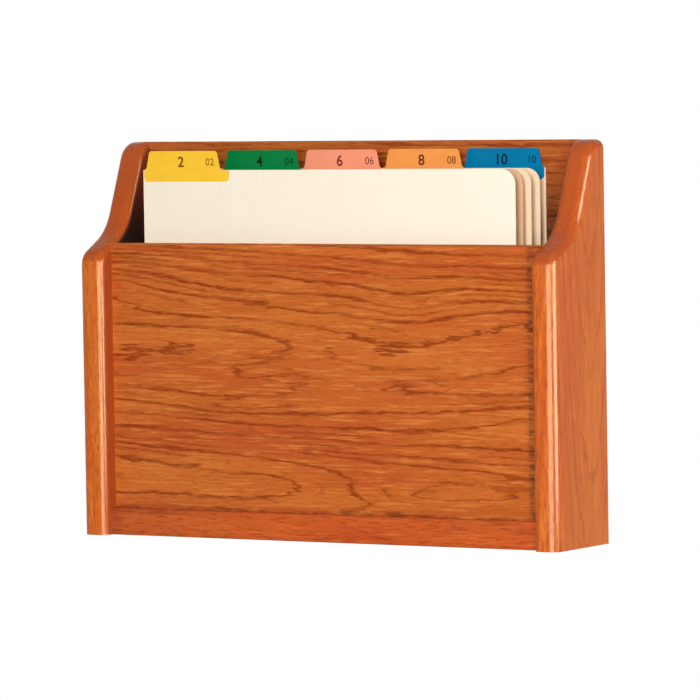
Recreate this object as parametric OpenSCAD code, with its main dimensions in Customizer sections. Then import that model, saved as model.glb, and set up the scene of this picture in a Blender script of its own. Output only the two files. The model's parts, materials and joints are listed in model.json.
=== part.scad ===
// Wall pocket in oak for letter-size sheets, with five index guides standing in it.
// X runs to the right, Y runs from the front to the wall and Z runs up. The origin lies on
// the wall plane, midway between the two wall screws.

/* [Case] */
// Width over the two side boards
case_w = 378; // [350:1:420]
// Depth from the wall to the front edges of the side boards
case_d = 71; // [66:0.5:85]
// Height of the side boards and of the back
case_h = 272; // [262:1:290]
// Thickness of the solid side boards
side_t = 19; // [16:0.5:22]
// Thickness of the bottom board
bottom_t = 19; // [14:0.5:22]
// How far the bottom board's front edge stands behind the side boards' front edges
bottom_recess = 7; // [3:0.5:10]
// Radius that eases the front arrises of the bottom board
bottom_ease_r = 1.5; // [0.5:0.25:3]

/* [Side board outline] */
// Radius of the roundover along the front and top arrises
edge_r = 6.35; // [3:0.05:7]
// Radius of the shoulder where the upright front edge turns back
shoulder_r = 12; // [9:0.5:15]
// Angle that the shoulder turns through, measured from upright
shoulder_angle = 62; // [50:1:68]
// How far the shoulder starts below the top of the front panel
shoulder_drop = 15; // [12:0.5:18]
// Radius of the hollow curve above the shoulder
cove_r = 38; // [30:1:44]
// Angle at which the edge leans back above the hollow, measured from upright
lean_angle = 22; // [15:1:26]
// Radius of the top front corner
crown_r = 16; // [11:0.5:18]
// Depth of the flat left at the top, measured from the wall
crown_flat = 4.5; // [2:0.5:8]

/* [Front and back panels] */
// Height of the front panel's top above the underside of the case
front_h = 203; // [195:1:210]
// Thickness of the plywood front panel
front_t = 6; // [4:0.5:9]
// How far the front panel's face stands behind the side boards' front edges
front_recess = 13.5; // [11:0.5:16]
// Thickness of the plywood back panel
back_t = 6; // [5:0.5:9]
// How far the panels are let into the side boards
groove_deep = 6; // [4:0.5:8]
// How far the front panel is let into the bottom board
bottom_groove_deep = 5; // [3:0.5:8]
// Thickness of the solid strips on the panels' top edges
band_t = 1; // [0.5:0.25:3]
// Clearance beside a panel in its groove
groove_gap = 0.05; // [0.02:0.01:0.2]

/* [Wall screws] */
// Height of the two screw holes above the underside of the case
screw_h = 235; // [215:1:245]
// Distance between the two screw holes
screw_pitch = 203; // [150:1:260]
// Diameter of the screw holes
screw_d = 5; // [4:0.25:6]
// Diameter of the countersinks for the screw heads
sink_d = 10; // [8:0.5:11]

/* [Dowels and brads] */
// Diameter of the dowels that carry the bottom board
dowel_d = 6; // [5:0.5:8]
// Length of the dowels
dowel_l = 30; // [24:1:36]
// How far a dowel reaches into a side board
dowel_in_side = 11; // [8:0.5:13]
// Distance between the two dowels at one end of the bottom board
dowel_pitch = 26; // [16:1:34]
// Diameter of the brads
brad_d = 1.3; // [1:0.1:1.8]
// Length of the brads
brad_l = 22; // [16:1:30]
// Diameter of the brad heads
brad_head_d = 2.2; // [2:0.1:2.6]
// Thickness of the brad heads
brad_head_t = 0.6; // [0.4:0.1:1]
// Brads up each side board
brads_up = 4; // [3:1:6]
// Brads along the bottom board
brads_across = 3; // [2:1:5]
// How far the end brads stand from the ends of a row
brad_end = 32; // [25:1:45]
// Clearance around a dowel or a brad, and past its end
pin_gap = 0.05; // [0.02:0.01:0.1]

/* [Index guides] */
// Width of a guide
guide_w = 296; // [280:1:304]
// Height of a guide up to its shoulders
guide_h = 234; // [225:1:240]
// Thickness of the pressboard
guide_t = 0.7; // [0.5:0.05:1.2]
// How far the guides stand to the right of the middle
guide_shift = 1.2; // [-5:0.1:5]
// How far each guide stands to the right of that place, as loose sheets do
guide_slide = [0.4, -0.6, 1, 1, -0.6];
// Radius of the guides' top corners
guide_corner_r = 10; // [4:0.5:12]
// Radius of the guides' bottom corners
guide_foot_r = 3; // [1:0.5:6]
// Gap under a guide, in front of the first one and behind the last one
guide_gap = 0.3; // [0.2:0.05:0.6]
// How much of the free depth lies in front of each guide
guide_place = [0, 0.275, 0.465, 0.74, 0.985];

/* [Tabs and their films] */
// Width of a tab along its top
tab_w = 55; // [50:0.5:57]
// Height of a tab above the guide's shoulders
tab_h = 13; // [9:0.1:16]
// Angle of a tab's sides, measured from upright
tab_angle = 12; // [5:1:18]
// Radius of a tab's top corners
tab_corner_r = 2.5; // [1.5:0.25:3.5]
// Radius where a tab runs into the guide's top edge
tab_foot_r = 3; // [2:0.25:4]
// Thickness of the coloured film
film_t = 0.15; // [0.1:0.05:0.3]
// How far the film stays inside the edges of the card
film_inset = 0.2; // [0.2:0.1:0.8]
// How far the film reaches below the guide's shoulders
film_drop = 8; // [5:0.5:12]
// How far the film's lower part reaches past the foot of the tab
film_reach = 5; // [2:0.5:8]
// How far the lower part stays inside the sides of the guide
film_edge = 0.8; // [0.5:0.1:1.5]
// Radius of the film's lower corners
film_corner_r = 3; // [1:0.5:4]

/* [Hidden] */
$fn = 64;

OAK = [0.76, 0.41, 0.20];
OAK_RAIL = [0.72, 0.34, 0.16];
OAK_PLY = [0.77, 0.43, 0.20];
BEECH = [0.85, 0.70, 0.50];
STEEL = [0.70, 0.70, 0.72];
MANILA = [0.98, 0.92, 0.80];
FILMS = [[0.98, 0.78, 0.23], [0.00, 0.49, 0.24], [0.98, 0.61, 0.47],
    [0.98, 0.64, 0.35], [0.00, 0.53, 0.74]];

// How far a cutting tool runs past the face that it cuts
past = 1;
// How far pieces of one solid that are drawn apart run into each other
overlap = 1.5;
// How far a side board's core stays inside its outline
core_in = edge_r + overlap;
// How far the outline turns back in the hollow
hollow_turn = shoulder_angle - lean_angle;
// How deep the rim is drawn, to reach past the core's corner behind the hollow
rim_w = (cove_r + core_in) / cos(hollow_turn / 2) - cove_r + overlap;
// How much smaller the rim's curved stretches are drawn, and how many degrees they run on
// into the straights, so that the stretches overlap without sharing a surface
joint_step = 0.02;
corner_run = 4;
hollow_run = 1;
inner_w = case_w - 2 * side_t;
half_inner = inner_w / 2;
shoulder_z = front_h - shoulder_drop;
front_y = -case_d + front_recess;
pocket_y0 = front_y + front_t;
pocket_y1 = -back_t;
guide_z = bottom_t + guide_gap;
tab_top = guide_h + tab_h;
guide_count = len(guide_place);

// Half the width of a tab where its foot curve runs out on the guide's top edge
tab_foot_half = tab_w / 2 + (tab_h - tab_foot_r) * tan(tab_angle)
    + tab_foot_r / cos(tab_angle);

// The middle of each tab, the outer tabs' feet ending at the guide's sides
tab_pitch = (guide_w - 2 * tab_foot_half) / (guide_count - 1);
function tab_x(i) = -guide_w / 2 + tab_foot_half + i * tab_pitch;

// The front of each guide, spread over the free depth of the pocket
guide_room = pocket_y1 - pocket_y0 - guide_t - 2 * guide_gap;
function guide_y(i) = pocket_y0 + guide_gap + guide_place[i] * guide_room;

// Points on an arc, in steps of about 8 degrees
function arc(c, r, a, b) =
    let (n = max(2, ceil(abs(b - a) / 8)))
    [for (k = [0:n]) c + r * [cos(a + (b - a) * k / n), sin(a + (b - a) * k / n)]];

// The outline of a side board from the front's foot to the top, seen from its left.
// Two straights of unknown length join the three curves. Their lengths follow from the
// depth and the height that the curves leave over.
bend_y = shoulder_r * (1 - cos(shoulder_angle))
    + cove_r * (cos(lean_angle) - cos(shoulder_angle))
    + crown_r * cos(lean_angle);
bend_z = shoulder_r * sin(shoulder_angle)
    + cove_r * (sin(shoulder_angle) - sin(lean_angle))
    + crown_r * (1 - sin(lean_angle));
rest_y = case_d - crown_flat - bend_y;
rest_z = case_h - shoulder_z - bend_z;
turn = sin(hollow_turn);
slope_l = (rest_y * cos(lean_angle) - rest_z * sin(lean_angle)) / turn;
lean_l = (rest_z * sin(shoulder_angle) - rest_y * cos(shoulder_angle)) / turn;

slope_out = [-cos(shoulder_angle), sin(shoulder_angle)];
lean_out = [-cos(lean_angle), sin(lean_angle)];
slope_run = [sin(shoulder_angle), cos(shoulder_angle)];
lean_run = [sin(lean_angle), cos(lean_angle)];
shoulder_c = [-case_d + shoulder_r, shoulder_z];
slope_start = shoulder_c + shoulder_r * slope_out;
slope_end = slope_start + slope_l * slope_run;
cove_c = slope_end + cove_r * slope_out;
lean_start = cove_c - cove_r * lean_out;
lean_end = lean_start + lean_l * lean_run;
crown_c = lean_end - crown_r * lean_out;

// Everything is drawn with its underside at zero and then hung at the wall screws
module hung() {
    translate([0, 0, -screw_h]) children();
}

// Turns a flat outline drawn in Y and Z, and its thickness, to run along X
module along_x() {
    rotate([90, 0, 90]) children();
}

// The rim of a side board cut across: its edge lies at X = 0, Y is the thickness, and
// both arrises are rounded over. It can be drawn smaller all round by the given inset.
module rim_section(deep, inset) {
    difference() {
        translate([-deep, inset]) square([deep - inset, side_t - 2 * inset]);
        for (s = [0, 1]) translate([-edge_r, side_t / 2]) mirror([0, s]) difference() {
            translate([0, side_t / 2 - edge_r]) square(edge_r + past);
            translate([0, side_t / 2 - edge_r]) circle(r = edge_r - inset);
        }
    }
}

// The rim along a straight stretch of the outline
module rim_line(from, angle, length) {
    translate([from[0], from[1], 0]) rotate([0, 0, angle]) rotate([90, 0, 90])
        linear_extrude(length) rim_section(rim_w, 0);
}

// The rim round an outward curve, filled to its centre, from angle a down to b. Its ends
// run on inside the straights.
module rim_corner(c, r, a, b) {
    translate([c[0], c[1], 0]) rotate([0, 0, b - corner_run]) rotate_extrude(
        angle = a - b + 2 * corner_run) translate([r, 0]) rim_section(r, joint_step);
}

// The rim round the hollow, from angle a up to b, with its ends inside the straights
module rim_hollow(c, r, a, b) {
    translate([c[0], c[1], 0]) rotate([0, 0, a - hollow_run]) rotate_extrude(
        angle = b - a + 2 * hollow_run) translate([r, 0]) mirror([1, 0])
            rim_section(rim_w, joint_step);
}

// A side board's rim from its front foot to the wall, with true curves
module rim() {
    rim_line([-case_d, 0], 90, shoulder_z);
    rim_corner(shoulder_c, shoulder_r, 180, 180 - shoulder_angle);
    rim_line(slope_start, 90 - shoulder_angle, slope_l);
    rim_hollow(cove_c, cove_r, -shoulder_angle, -lean_angle);
    rim_line(lean_start, 90 - lean_angle, lean_l);
    rim_corner(crown_c, crown_r, 180 - lean_angle, 90);
    rim_line([crown_c[0], case_h], 0, crown_flat);
}

// Where two lines that lie a given distance inside the outline meet, at a curve that has
// its centre at c and whose middle is at the given angle
function mitre(c, distance, turned, angle) =
    c + distance / cos(turned / 2) * [cos(angle), sin(angle)];

// What the rim encloses: its outline runs inside the rim, past the roundovers
module side_core() {
    linear_extrude(side_t) polygon([[0, 0], [core_in - case_d, 0],
        mitre(shoulder_c, shoulder_r - core_in, shoulder_angle, 180 - shoulder_angle / 2),
        mitre(cove_c, cove_r + core_in, hollow_turn, -(shoulder_angle + lean_angle) / 2),
        mitre(crown_c, crown_r - core_in, 90 - lean_angle, 135 - lean_angle / 2),
        [0, case_h - core_in]]);
}

// A side board with its inner face at X = 0 and its outer face at X = side_t
module side_board() {
    reach = groove_deep + groove_gap;
    difference() {
        along_x() {
            rim();
            side_core();
        }
        translate([-past, front_y - groove_gap, bottom_t - bottom_groove_deep])
            cube([reach + past, front_t + 2 * groove_gap,
                front_h - bottom_t + bottom_groove_deep]);
        translate([-past, -back_t - groove_gap, -past])
            cube([reach + past, back_t + groove_gap + past, case_h + 2 * past]);
        dowel_row(dowel_d / 2 + pin_gap, dowel_in_side + pin_gap);
        translate([groove_deep / 2, 0, 0]) brad_column(pin_gap);
    }
}

// Dowels at one end of the bottom board, from inside it to the given reach along X
module dowel_row(r, reach) {
    mid = (-case_d + bottom_recess - back_t) / 2;
    for (s = [-1, 1])
        translate([-past, mid + s * dowel_pitch / 2, bottom_t / 2])
            rotate([0, 90, 0]) cylinder(r = r, h = reach + past);
}

// One brad driven forwards from the wall face
module brad(gap) {
    rotate([90, 0, 0]) {
        cylinder(d = brad_d + 2 * gap, h = brad_l + gap);
        translate([0, 0, -gap]) cylinder(d = brad_head_d + 2 * gap, h = brad_head_t + 2 * gap);
    }
}

module brad_column(gap) {
    step = (case_h - 2 * brad_end) / (brads_up - 1);
    for (k = [0:brads_up - 1]) translate([0, 0, brad_end + k * step]) brad(gap);
}

module brad_row(gap) {
    step = (inner_w - 2 * brad_end) / (brads_across - 1);
    for (k = [0:brads_across - 1])
        translate([-half_inner + brad_end + k * step, 0, bottom_t / 2]) brad(gap);
}

module both_sides() {
    translate([half_inner, 0, 0]) children();
    translate([-half_inner, 0, 0]) mirror([1, 0, 0]) children();
}

module left_side() {
    color(OAK) hung() translate([-half_inner, 0, 0]) mirror([1, 0, 0]) side_board();
}

module right_side() {
    color(OAK) hung() translate([half_inner, 0, 0]) side_board();
}

module bottom_section() {
    front = -case_d + bottom_recess;
    difference() {
        union() {
            translate([front + bottom_ease_r, 0])
                square([-back_t - front - bottom_ease_r, bottom_t]);
            translate([front, bottom_ease_r])
                square([bottom_ease_r, bottom_t - 2 * bottom_ease_r]);
            for (z = [bottom_ease_r, bottom_t - bottom_ease_r])
                translate([front + bottom_ease_r, z]) circle(r = bottom_ease_r);
        }
        translate([front_y - groove_gap, bottom_t - bottom_groove_deep - groove_gap])
            square([front_t + 2 * groove_gap, bottom_groove_deep + groove_gap + past]);
    }
}

module bottom_board() {
    color(OAK_RAIL) hung() difference() {
        translate([-half_inner, 0, 0]) along_x() linear_extrude(inner_w) bottom_section();
        both_sides() mirror([1, 0, 0])
            dowel_row(dowel_d / 2 + pin_gap, dowel_l - dowel_in_side + pin_gap);
        brad_row(pin_gap);
    }
}

module front_panel() {
    foot = bottom_t - bottom_groove_deep;
    color(OAK_PLY) hung() translate([-half_inner - groove_deep, front_y, foot])
        cube([inner_w + 2 * groove_deep, front_t, front_h - band_t - foot]);
}

module front_edge_band() {
    color(OAK) hung() translate([-half_inner - groove_deep, front_y, front_h - band_t])
        cube([inner_w + 2 * groove_deep, front_t, band_t]);
}

module screw_hole() {
    rotate([90, 0, 0]) {
        translate([0, 0, -past]) cylinder(d = screw_d, h = back_t + 2 * past);
        translate([0, 0, back_t - (sink_d - screw_d) / 2])
            cylinder(d1 = screw_d, d2 = sink_d, h = (sink_d - screw_d) / 2);
        translate([0, 0, back_t]) cylinder(d = sink_d, h = past);
    }
}

module back_panel() {
    color(OAK_PLY) hung() difference() {
        translate([-half_inner - groove_deep, -back_t, 0])
            cube([inner_w + 2 * groove_deep, back_t, case_h - band_t]);
        for (s = [-1, 1]) translate([s * screw_pitch / 2, 0, screw_h]) screw_hole();
        both_sides() translate([groove_deep / 2, 0, 0]) brad_column(pin_gap);
        brad_row(pin_gap);
    }
}

module back_edge_band() {
    color(OAK) hung() translate([-half_inner - groove_deep, -back_t, case_h - band_t])
        cube([inner_w + 2 * groove_deep, back_t, band_t]);
}

module bottom_dowels() {
    color(BEECH) hung() both_sides() intersection() {
        translate([dowel_in_side - dowel_l, -case_d, 0]) cube([dowel_l, case_d, bottom_t]);
        translate([past - dowel_l, 0, 0]) dowel_row(dowel_d / 2, 2 * dowel_l);
    }
}

module back_brads() {
    color(STEEL) hung() {
        both_sides() translate([groove_deep / 2, 0, 0]) brad_column(0);
        brad_row(0);
    }
}

// One side of a tab, from the guide's top edge up to the tab's top, for a tab centred
// on X = 0 and drawn inside its true outline by the given inset
function tab_side(inset, top) =
    let (foot = [tab_foot_half, guide_h + tab_foot_r],
        corner = [tab_w / 2 + tab_corner_r * (tan(tab_angle) - 1 / cos(tab_angle)),
            tab_top - tab_corner_r])
    concat(arc(foot, tab_foot_r + inset, 270, 180 + tab_angle),
        [for (p = arc(corner, tab_corner_r - inset, tab_angle, 90)) p + [0, top]]);

function flipped(points) = [for (k = [len(points) - 1:-1:0]) [-points[k][0], points[k][1]]];
function moved(points, x) = [for (p = points) p + [x, 0]];

// A guide's card: the outer corner beside an end tab is the tab's own foot
module card_outline(i) {
    w = guide_w / 2;
    c = guide_corner_r;
    f = guide_foot_r;
    right = i == guide_count - 1 ? [] : arc([w - c, guide_h - c], c, 0, 90);
    left = i == 0 ? [] : arc([c - w, guide_h - c], c, 90, 180);
    polygon(concat(arc([f - w, f], f, 180, 270), arc([w - f, f], f, 270, 360), right,
        moved(tab_side(0, 0), tab_x(i)), moved(flipped(tab_side(0, 0)), tab_x(i)), left));
}

// How far the film's lower part reaches to one side of the tab's middle, where the
// guide's side is the given distance away
function film_half(to_side) = min(tab_foot_half + film_reach, to_side - film_edge);

// One side of a film, from its lower edge up to the tab's top
function film_side(w) =
    let (c = film_corner_r, low = guide_h - film_drop)
    concat(arc([w - c, low + c], c, 270, 360), [[w, guide_h - film_inset]],
        [for (p = tab_side(film_inset, film_t + film_inset)) if (p[0] < w) p]);

module film_outline(i) {
    right = film_side(film_half(guide_w / 2 - tab_x(i)));
    left = film_side(film_half(guide_w / 2 + tab_x(i)));
    polygon(moved(concat(right, flipped(left)), tab_x(i)));
}

// Stands a flat outline upright at the place of guide i, with its front face at Y = 0
module at_guide(i) {
    hung() translate([guide_shift + guide_slide[i], guide_y(i), guide_z]) children();
}

module upright(thick) {
    translate([0, thick, 0]) rotate([90, 0, 0]) linear_extrude(thick) children();
}

module guide(i) {
    color(MANILA) at_guide(i) upright(guide_t) card_outline(i);
}

module tab_film(i) {
    color(FILMS[i]) at_guide(i) difference() {
        translate([0, -film_t, 0]) upright(guide_t + 2 * film_t) film_outline(i);
        upright(guide_t) card_outline(i);
    }
}

left_side();
right_side();
bottom_board();
front_panel();
front_edge_band();
back_panel();
back_edge_band();
bottom_dowels();
back_brads();
guide(0);  // guide_1
guide(1);  // guide_2
guide(2);  // guide_3
guide(3);  // guide_4
guide(4);  // guide_5
tab_film(0);  // tab_film_1
tab_film(1);  // tab_film_2
tab_film(2);  // tab_film_3
tab_film(3);  // tab_film_4
tab_film(4);  // tab_film_5
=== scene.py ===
# %% [markdown]
# The object is an oak wall holder: two thick side boards with S-curved front edges, a recessed
# front panel, a bottom board and a back panel, and five card index guides standing in the pocket.
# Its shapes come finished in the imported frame. This script gives them their surfaces, adds the
# print on the tabs, and sets up a plain studio. Loading the frame comes first, because every added
# piece takes its place from it.

# %% Load the frame
import json
from math import cos, pi, radians, sin

import bpy
from mathutils import Matrix, Vector

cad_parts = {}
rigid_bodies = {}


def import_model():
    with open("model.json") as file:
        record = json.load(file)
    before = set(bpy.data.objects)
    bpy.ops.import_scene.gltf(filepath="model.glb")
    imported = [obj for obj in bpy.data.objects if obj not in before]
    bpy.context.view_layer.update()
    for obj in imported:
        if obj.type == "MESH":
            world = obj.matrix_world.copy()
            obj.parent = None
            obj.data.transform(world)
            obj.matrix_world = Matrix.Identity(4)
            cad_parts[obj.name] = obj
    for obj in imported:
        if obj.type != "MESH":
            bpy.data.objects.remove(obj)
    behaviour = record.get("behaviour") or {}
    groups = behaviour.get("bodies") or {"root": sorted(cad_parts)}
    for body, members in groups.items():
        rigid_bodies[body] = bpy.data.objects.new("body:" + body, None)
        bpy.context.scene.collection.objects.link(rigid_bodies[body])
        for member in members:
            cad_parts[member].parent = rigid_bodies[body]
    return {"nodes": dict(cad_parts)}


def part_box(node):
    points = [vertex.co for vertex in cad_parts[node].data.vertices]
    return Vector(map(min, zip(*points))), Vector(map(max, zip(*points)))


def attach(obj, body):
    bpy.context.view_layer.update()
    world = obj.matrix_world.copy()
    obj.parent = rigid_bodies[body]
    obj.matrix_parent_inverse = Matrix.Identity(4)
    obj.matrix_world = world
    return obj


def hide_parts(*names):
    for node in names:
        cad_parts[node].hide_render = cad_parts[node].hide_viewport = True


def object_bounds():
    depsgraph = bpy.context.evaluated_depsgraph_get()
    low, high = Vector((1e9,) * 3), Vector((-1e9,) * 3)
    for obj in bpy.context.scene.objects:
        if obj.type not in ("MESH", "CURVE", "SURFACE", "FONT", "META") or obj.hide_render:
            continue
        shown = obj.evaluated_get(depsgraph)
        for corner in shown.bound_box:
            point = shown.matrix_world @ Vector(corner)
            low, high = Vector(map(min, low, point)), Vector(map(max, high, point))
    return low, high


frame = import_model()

scene = bpy.context.scene
nodes = frame["nodes"]
MM = 0.001
cad_low, cad_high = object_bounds()
print("pieces in the frame:", len(nodes), "size in mm:",
      [round(v / MM) for v in cad_high - cad_low])

# %% [markdown]
# A product photograph is taken from far away with a long lens, so that the upright edges stay
# parallel. The place and the three angles were worked out from the holder's corners. The camera
# could be aimed at a target, but a slight roll would then be lost, so its axes are built from the
# angles instead.

# %% Camera
CAMERA_PLACE = Vector((1.9673, -3.2567, 0.1019))
CAMERA_TURN = radians(31.292)
CAMERA_TILT = radians(-3.145)
CAMERA_ROLL = radians(-0.929)
LENS_MM = 284.42
SENSOR_MM = 36


def in_scene(name, data):
    """A new object in the scene."""
    thing = bpy.data.objects.new(name, data)
    scene.collection.objects.link(thing)
    return thing


def make_camera():
    """A long lens at the photograph's place and angles."""
    ahead = Vector((-sin(CAMERA_TURN) * cos(CAMERA_TILT),
                    cos(CAMERA_TURN) * cos(CAMERA_TILT), sin(CAMERA_TILT)))
    level = Vector((cos(CAMERA_TURN), sin(CAMERA_TURN), 0))
    upright = level.cross(ahead)
    right = level * cos(CAMERA_ROLL) + upright * sin(CAMERA_ROLL)
    up = upright * cos(CAMERA_ROLL) - level * sin(CAMERA_ROLL)
    data = bpy.data.cameras.new("camera")
    data.lens = LENS_MM
    data.sensor_width = SENSOR_MM
    camera = in_scene("camera", data)
    axes = Matrix((right, up, -ahead)).transposed()
    camera.matrix_world = Matrix.Translation(CAMERA_PLACE) @ axes.to_4x4()
    return camera


scene.camera = make_camera()
print("camera distance in m:", round(CAMERA_PLACE.length, 2))

# %% [markdown]
# Shader nodes can be wired by hand in the editor, but a script reads better with a small helper.
# It adds a node, sets its options, and fills each input with a plain value or a link. Colours are
# written as they look on a screen, from 0 to 255, and turned into the linear values that Blender
# works with.

# %% Helpers for node trees
WHITE = (1, 1, 1, 1)


def linear(red, green, blue):
    """A screen colour from 0 to 255 as a linear colour with alpha, by the sRGB curve."""
    def one(level):
        share = level / 255
        return share / 12.92 if share <= 0.04045 else ((share + 0.055) / 1.055) ** 2.4
    return (one(red), one(green), one(blue), 1)


def add(tree, kind, inputs=None, **options):
    """One node with its options set and its inputs filled or linked."""
    node = tree.nodes.new(kind)
    for name, value in options.items():
        setattr(node, name, value)
    for name, value in (inputs or {}).items():
        if isinstance(value, bpy.types.NodeSocket):
            tree.links.new(value, node.inputs[name])
        else:
            node.inputs[name].default_value = value
    return node


print("a screen grey of 128 is", round(linear(128, 128, 128)[0], 3), "in linear light")

# %% [markdown]
# Patterns are built from a few kinds of node: sums, mixes, ramps and noise. Each could be added in
# full wherever it is used, but as short functions they read like a formula.

# %% Helpers for sums, mixes and noise
def calc(tree, operation, *values, clamp=False):
    """The result of a Math node."""
    inputs = dict(enumerate(values))
    return add(tree, "ShaderNodeMath", inputs, operation=operation, use_clamp=clamp).outputs[0]


def times(tree, first, second):
    """Two values multiplied."""
    return calc(tree, "MULTIPLY", first, second)


def parts_of(tree, vector):
    """The x, y and z of a vector."""
    return add(tree, "ShaderNodeSeparateXYZ", {0: vector}).outputs


def blend_colour(tree, share, first, second):
    """Two colours mixed by a share."""
    return add(tree, "ShaderNodeMix", {0: share, 6: first, 7: second}, data_type="RGBA").outputs[2]


def between(tree, value, low, high, to_low=0.0, to_high=1.0):
    """A value rescaled smoothly from one range to another, and clamped."""
    ends = {"Value": value, "From Min": low, "From Max": high, "To Min": to_low,
            "To Max": to_high}
    return add(tree, "ShaderNodeMapRange", ends, interpolation_type="SMOOTHSTEP").outputs[0]


def noise(tree, place, scale, detail, seed):
    """Noise from 0 to 1 with its scales per metre along x, y and z; the seed moves it."""
    inputs = {"Vector": place, "Scale": scale, "Location": (seed, seed * 1.7, seed * 2.3)}
    stretched = add(tree, "ShaderNodeMapping", inputs)
    inputs = {"Vector": stretched.outputs[0], "Scale": 1.0, "Detail": detail}
    return add(tree, "ShaderNodeTexNoise", inputs).outputs["Fac"]


print("helpers:", calc.__name__, between.__name__, noise.__name__)

# %% [markdown]
# A node group is to a material what a function is to a script: it is built once, and each material
# gives it values of its own. Copied nodes would work too, but a change would have to be made in
# each. A number that is the same all over a surface is set on the shader's own socket, where any
# program can read it.

# %% Helpers for groups and materials
FLOAT, VECTOR, COLOUR = "NodeSocketFloat", "NodeSocketVector", "NodeSocketColor"


def new_group(name, inputs, outputs, tree_type="ShaderNodeTree"):
    """An empty node group with named sockets, and its two end nodes."""
    group = bpy.data.node_groups.new(name, tree_type)
    for label, kind, value in inputs:
        socket = group.interface.new_socket(label, in_out="INPUT", socket_type=kind)
        if value is not None:
            socket.default_value = value
    for label, kind in outputs:
        group.interface.new_socket(label, in_out="OUTPUT", socket_type=kind)
    return group, group.nodes.new("NodeGroupInput"), group.nodes.new("NodeGroupOutput")


def use_group(tree, group, **inputs):
    """A group placed in a tree, with underscores in the keywords read as spaces."""
    named = {key.replace("_", " "): value for key, value in inputs.items()}
    return add(tree, "ShaderNodeGroup", named, node_tree=group).outputs


def new_material(name, **constants):
    """A material with a Principled shader, and the sockets that stay the same all over."""
    material = bpy.data.materials.new(name)
    material.use_nodes = True
    shader = material.node_tree.nodes["Principled BSDF"]
    for key, value in constants.items():
        shader.inputs[key.replace("_", " ")].default_value = value
    return material, material.node_tree, shader


def paint(tree, shader, colour, height=None, relief=0.0, strength=0.3):
    """Gives a shader its colour, and the bump of a height whose relief is in metres."""
    tree.links.new(colour, shader.inputs["Base Color"])
    if height is not None:
        bump = add(tree, "ShaderNodeBump", {"Height": height, "Distance": relief,
                                            "Strength": strength})
        tree.links.new(bump.outputs[0], shader.inputs["Normal"])


print("group sockets:", FLOAT, VECTOR, COLOUR)

# %% [markdown]
# A board is a slice out of a log, and the lines on it are where its yearly rings meet the cut
# face. A wood picture could be painted with a wave texture, but then every face would look the
# same. Here the rings are worked out in three dimensions: the distance from the heart of the log,
# divided by the width of one ring. The heart tapers along the board, and that alone draws the
# pointed arches of a flat-sawn board.

# %% Node group: rings around the heart of a log
def log_rings_group():
    """Ring number at a place whose x runs along the grain, y across the face and z into it."""
    group, start, end = new_group("log rings", [
        ("Place", VECTOR, None), ("Heart across", FLOAT, 0.0), ("Heart drift", FLOAT, 0.0),
        ("Heart depth", FLOAT, 0.03), ("Taper", FLOAT, 0.0), ("Ring", FLOAT, 0.006)],
        [("Rings", FLOAT)])
    value = start.outputs
    place = parts_of(group, value["Place"])
    drift = calc(group, "MULTIPLY_ADD", place[0], value["Heart drift"], value["Heart across"])
    across = calc(group, "SUBTRACT", place[1], drift)
    depth = calc(group, "MULTIPLY_ADD", place[0], value["Taper"], value["Heart depth"])
    deep = calc(group, "ADD", place[2], depth)
    squares = calc(group, "MULTIPLY_ADD", deep, deep, times(group, across, across))
    distance = calc(group, "SQRT", squares)
    group.links.new(calc(group, "DIVIDE", distance, value["Ring"]), end.inputs["Rings"])
    return group


log_rings = log_rings_group()
print("node group:", log_rings.name)

# %% [markdown]
# Red oak shows its rings as rows of open pores. Each ring starts with large pores, which take up
# the stain and go dark, and fades into smooth, lighter wood. A plain wave over the rings would
# give even stripes. So each line here has a sharp side and a feathered side, wanders a little, and
# fades in and out on its way, and a weaker second line runs between two main ones.

# %% Ring lines
LINE_WIDTH = 0.9 * MM
FEATHER = 2.1 * MM
FEATHER_CURVE = 1.7
SECOND_LINE_AT = 0.46
SECOND_LINE_WIDTH = LINE_WIDTH * 0.6
SECOND_LINE_STRENGTH = 0.7
# Noise scales per metre: low along the grain and high across it, which makes long streaks.
SLOW_WAVES, SLOW_BEND = (9, 50, 50), 1.2
QUICK_WAVES, QUICK_BEND = (60, 330, 330), 0.8
MAIN_PATCHES, SECOND_PATCHES = (16, 95, 95), (12, 80, 80)


def ring_line(group, rings, slope, shift, width):
    """A dark line at each whole ring number: sharp on its inner side, feathered outwards."""
    phase = calc(group, "FRACT", calc(group, "ADD", rings, shift))
    from_line = calc(group, "DIVIDE", phase, slope)
    to_line = calc(group, "DIVIDE", calc(group, "SUBTRACT", 1.0, phase), slope)
    outer = between(group, from_line, width, width + FEATHER, 1.0, 0.0)
    inner = between(group, to_line, 0.0, width, 1.0, 0.0)
    return calc(group, "MAXIMUM", calc(group, "POWER", outer, FEATHER_CURVE), inner)


def wandering(group, place, rings, wander):
    """Ring numbers bent by slow and quick waves, both scaled by the wander value."""
    slow = calc(group, "SUBTRACT", noise(group, place, SLOW_WAVES, 1.0, seed=3.1), 0.5)
    quick = calc(group, "SUBTRACT", noise(group, place, QUICK_WAVES, 2.0, seed=7.7), 0.5)
    bent = calc(group, "MULTIPLY_ADD", slow, SLOW_BEND, times(group, quick, QUICK_BEND))
    return calc(group, "MULTIPLY_ADD", bent, wander, rings)


def patchy_lines(group, place, rings, slope):
    """The main and the second line of each ring, fading in and out along the grain."""
    main = ring_line(group, rings, slope, 0.0, LINE_WIDTH)
    patches = noise(group, place, MAIN_PATCHES, 1.0, seed=1.3)
    main = times(group, main, between(group, patches, 0.34, 0.56, 0.55, 1.0))
    second = ring_line(group, rings, slope, SECOND_LINE_AT, SECOND_LINE_WIDTH)
    patches = noise(group, place, SECOND_PATCHES, 1.0, seed=6.1)
    share = times(group, between(group, patches, 0.46, 0.62), SECOND_LINE_STRENGTH)
    return calc(group, "MAXIMUM", main, times(group, second, share))


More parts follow.
